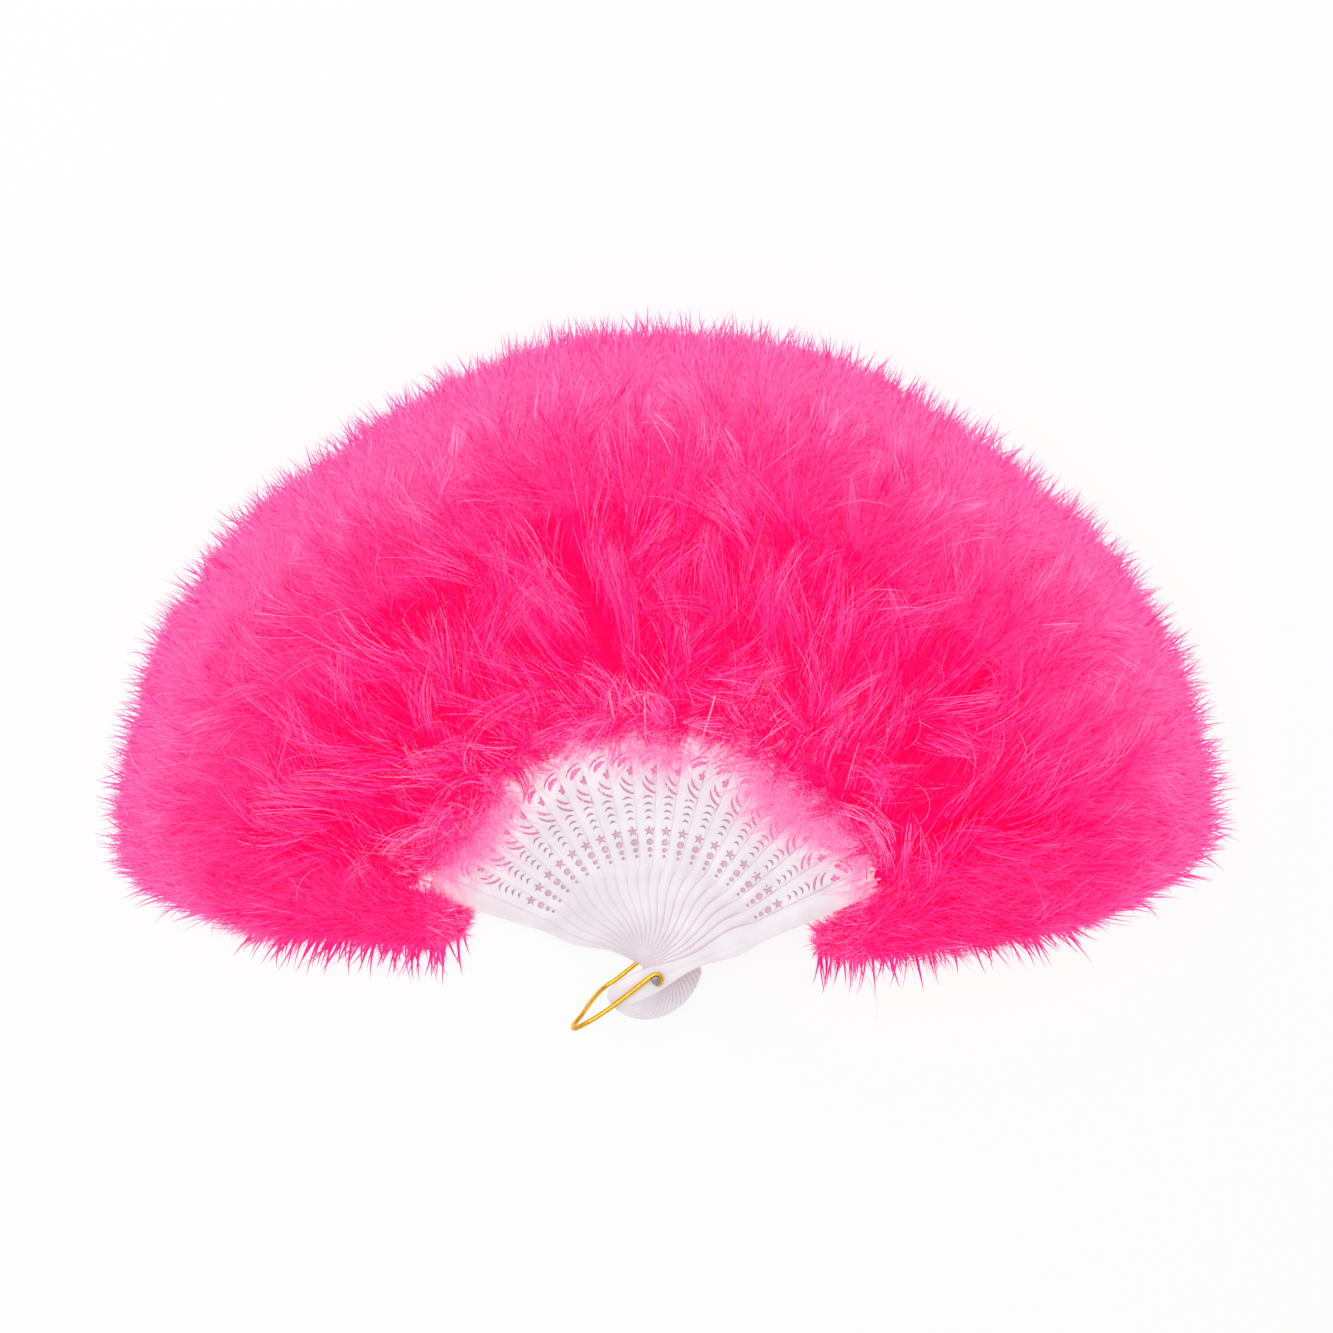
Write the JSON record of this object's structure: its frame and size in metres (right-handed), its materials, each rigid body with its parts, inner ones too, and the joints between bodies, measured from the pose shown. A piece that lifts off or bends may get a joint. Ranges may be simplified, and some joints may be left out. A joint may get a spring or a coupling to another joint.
{
  "type": "folding feather hand fan",
  "caption": "Open folding hand fan: pierced white plastic sticks on a rivet with a gold wire loop, each carrying a fluffy hot pink marabou plume.",
  "frame": {"origin": "on the rivet's axis, in the plane that the open fan lies on, which is the rivet's rear face", "axes": "+Z along the rivet towards the fan's front, +Y from the rivet to the middle of the feathers, +X towards the front guard's side"},
  "size_m": [0.4983, 0.3041, 0.0501],
  "materials": {
    "sticks": "satin white",
    "feathers": "dyed down, hot pink",
    "rivet": "grey metal",
    "loop": "polished gold",
    "thread": "white thread"
  },
  "bodies": {
    "rear_guard": {"guard_rear": "sticks", "plume_rear": "feathers", "rivet": "rivet", "linking_thread": "thread"},
    "stick_01": {"stick_01": "sticks", "plume_01": "feathers"},
    "stick_02": {"stick_02": "sticks", "plume_02": "feathers"},
    "stick_03": {"stick_03": "sticks", "plume_03": "feathers"},
    "stick_04": {"stick_04": "sticks", "plume_04": "feathers"},
    "stick_05": {"stick_05": "sticks", "plume_05": "feathers"},
    "stick_06": {"stick_06": "sticks", "plume_06": "feathers"},
    "stick_07": {"stick_07": "sticks", "plume_07": "feathers"},
    "stick_08": {"stick_08": "sticks", "plume_08": "feathers"},
    "stick_09": {"stick_09": "sticks", "plume_09": "feathers"},
    "stick_10": {"stick_10": "sticks", "plume_10": "feathers"},
    "stick_11": {"stick_11": "sticks", "plume_11": "feathers"},
    "stick_12": {"stick_12": "sticks", "plume_12": "feathers"},
    "stick_13": {"stick_13": "sticks", "plume_13": "feathers"},
    "stick_14": {"stick_14": "sticks", "plume_14": "feathers"},
    "stick_15": {"stick_15": "sticks", "plume_15": "feathers"},
    "stick_16": {"stick_16": "sticks", "plume_16": "feathers"},
    "stick_17": {"stick_17": "sticks", "plume_17": "feathers"},
    "stick_18": {"stick_18": "sticks", "plume_18": "feathers"},
    "stick_19": {"stick_19": "sticks", "plume_19": "feathers"},
    "front_guard": {"guard_front": "sticks", "plume_front": "feathers"},
    "wire_loop": {"wire_loop": "loop"}
  },
  "joints": [
    {"name": "front_guard_fold", "type": "hinge", "parent": "rear_guard", "child": "front_guard", "pos_m": [0, 0, 0], "axis": [0, 0, 1], "range_deg": [0, 136], "deforming": ["plume_rear", "plume_01", "plume_02", "plume_03", "plume_04", "plume_05", "plume_06", "plume_07", "plume_08", "plume_09", "plume_10", "plume_11", "plume_12", "plume_13", "plume_14", "plume_15", "plume_16", "plume_17", "plume_18", "plume_19", "plume_front", "linking_thread"]},
    {"name": "stick_01_fold", "type": "hinge", "parent": "rear_guard", "child": "stick_01", "pos_m": [0, 0, 0], "axis": [0, 0, 1], "range_deg": [0, 6.8]},
    {"name": "stick_02_fold", "type": "hinge", "parent": "rear_guard", "child": "stick_02", "pos_m": [0, 0, 0], "axis": [0, 0, 1], "range_deg": [0, 13.6]},
    {"name": "stick_03_fold", "type": "hinge", "parent": "rear_guard", "child": "stick_03", "pos_m": [0, 0, 0], "axis": [0, 0, 1], "range_deg": [0, 20.4]},
    {"name": "stick_04_fold", "type": "hinge", "parent": "rear_guard", "child": "stick_04", "pos_m": [0, 0, 0], "axis": [0, 0, 1], "range_deg": [0, 27.2]},
    {"name": "stick_05_fold", "type": "hinge", "parent": "rear_guard", "child": "stick_05", "pos_m": [0, 0, 0], "axis": [0, 0, 1], "range_deg": [0, 34]},
    {"name": "stick_06_fold", "type": "hinge", "parent": "rear_guard", "child": "stick_06", "pos_m": [0, 0, 0], "axis": [0, 0, 1], "range_deg": [0, 40.8]},
    {"name": "stick_07_fold", "type": "hinge", "parent": "rear_guard", "child": "stick_07", "pos_m": [0, 0, 0], "axis": [0, 0, 1], "range_deg": [0, 47.6]},
    {"name": "stick_08_fold", "type": "hinge", "parent": "rear_guard", "child": "stick_08", "pos_m": [0, 0, 0], "axis": [0, 0, 1], "range_deg": [0, 54.4]},
    {"name": "stick_09_fold", "type": "hinge", "parent": "rear_guard", "child": "stick_09", "pos_m": [0, 0, 0], "axis": [0, 0, 1], "range_deg": [0, 61.2]},
    {"name": "stick_10_fold", "type": "hinge", "parent": "rear_guard", "child": "stick_10", "pos_m": [0, 0, 0], "axis": [0, 0, 1], "range_deg": [0, 68]},
    {"name": "stick_11_fold", "type": "hinge", "parent": "rear_guard", "child": "stick_11", "pos_m": [0, 0, 0], "axis": [0, 0, 1], "range_deg": [0, 74.8]},
    {"name": "stick_12_fold", "type": "hinge", "parent": "rear_guard", "child": "stick_12", "pos_m": [0, 0, 0], "axis": [0, 0, 1], "range_deg": [0, 81.6]},
    {"name": "stick_13_fold", "type": "hinge", "parent": "rear_guard", "child": "stick_13", "pos_m": [0, 0, 0], "axis": [0, 0, 1], "range_deg": [0, 88.4]},
    {"name": "stick_14_fold", "type": "hinge", "parent": "rear_guard", "child": "stick_14", "pos_m": [0, 0, 0], "axis": [0, 0, 1], "range_deg": [0, 95.2]},
    {"name": "stick_15_fold", "type": "hinge", "parent": "rear_guard", "child": "stick_15", "pos_m": [0, 0, 0], "axis": [0, 0, 1], "range_deg": [0, 102]},
    {"name": "stick_16_fold", "type": "hinge", "parent": "rear_guard", "child": "stick_16", "pos_m": [0, 0, 0], "axis": [0, 0, 1], "range_deg": [0, 108.8]},
    {"name": "stick_17_fold", "type": "hinge", "parent": "rear_guard", "child": "stick_17", "pos_m": [0, 0, 0], "axis": [0, 0, 1], "range_deg": [0, 115.6]},
    {"name": "stick_18_fold", "type": "hinge", "parent": "rear_guard", "child": "stick_18", "pos_m": [0, 0, 0], "axis": [0, 0, 1], "range_deg": [0, 122.4]},
    {"name": "stick_19_fold", "type": "hinge", "parent": "rear_guard", "child": "stick_19", "pos_m": [0, 0, 0], "axis": [0, 0, 1], "range_deg": [0, 129.2]},
    {"name": "loop_swing", "type": "hinge", "parent": "rear_guard", "child": "wire_loop", "pos_m": [0, 0, 0], "axis": [0, 0, 1], "range_deg": [-36, 150]}
  ],
  "couplings": [
    {"joint": "stick_01_fold", "follows": "front_guard_fold", "ratio": 0.05},
    {"joint": "stick_02_fold", "follows": "front_guard_fold", "ratio": 0.1},
    {"joint": "stick_03_fold", "follows": "front_guard_fold", "ratio": 0.15},
    {"joint": "stick_04_fold", "follows": "front_guard_fold", "ratio": 0.2},
    {"joint": "stick_05_fold", "follows": "front_guard_fold", "ratio": 0.25},
    {"joint": "stick_06_fold", "follows": "front_guard_fold", "ratio": 0.3},
    {"joint": "stick_07_fold", "follows": "front_guard_fold", "ratio": 0.35},
    {"joint": "stick_08_fold", "follows": "front_guard_fold", "ratio": 0.4},
    {"joint": "stick_09_fold", "follows": "front_guard_fold", "ratio": 0.45},
    {"joint": "stick_10_fold", "follows": "front_guard_fold", "ratio": 0.5},
    {"joint": "stick_11_fold", "follows": "front_guard_fold", "ratio": 0.55},
    {"joint": "stick_12_fold", "follows": "front_guard_fold", "ratio": 0.6},
    {"joint": "stick_13_fold", "follows": "front_guard_fold", "ratio": 0.65},
    {"joint": "stick_14_fold", "follows": "front_guard_fold", "ratio": 0.7},
    {"joint": "stick_15_fold", "follows": "front_guard_fold", "ratio": 0.75},
    {"joint": "stick_16_fold", "follows": "front_guard_fold", "ratio": 0.8},
    {"joint": "stick_17_fold", "follows": "front_guard_fold", "ratio": 0.85},
    {"joint": "stick_18_fold", "follows": "front_guard_fold", "ratio": 0.9},
    {"joint": "stick_19_fold", "follows": "front_guard_fold", "ratio": 0.95}
  ]
}
